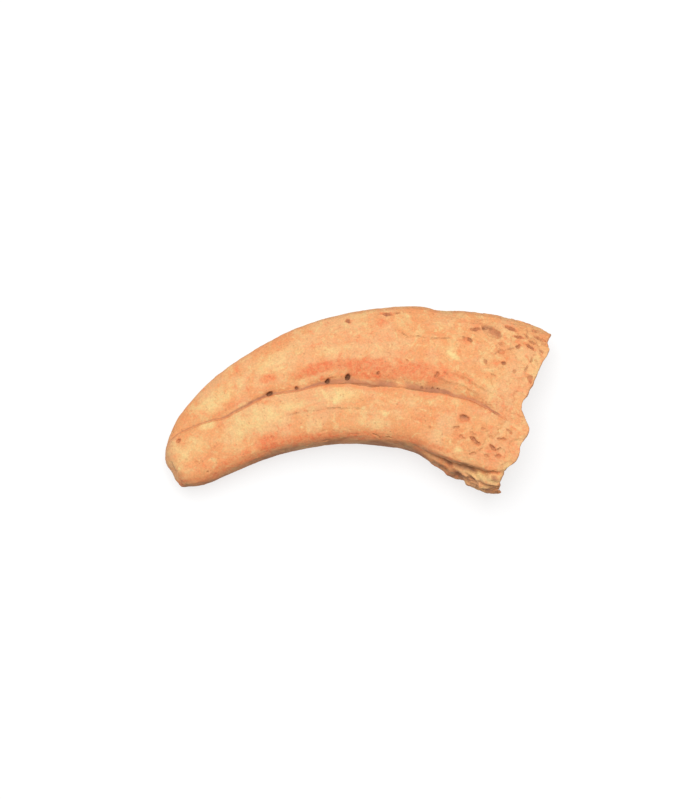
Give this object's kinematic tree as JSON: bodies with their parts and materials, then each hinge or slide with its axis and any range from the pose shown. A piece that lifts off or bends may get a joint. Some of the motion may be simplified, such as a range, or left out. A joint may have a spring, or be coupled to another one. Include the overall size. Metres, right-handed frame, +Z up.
{
  "type": "dinosaur fossil claw",
  "caption": "Curved, side-flattened bony claw core with a blood groove, a broken spongy root and a blunt worn tip.",
  "frame": {"origin": "middle of the claw's box at the surface it lies on", "axes": "+Z up from the surface; +X towards the broken root; +Y towards the convex back of the claw"},
  "size_m": [0.1288, 0.0628, 0.0273],
  "materials": {
    "fossil_bone": "matt"
  },
  "bodies": {
    "root": {"claw": "fossil_bone"}
  },
  "joints": []
}
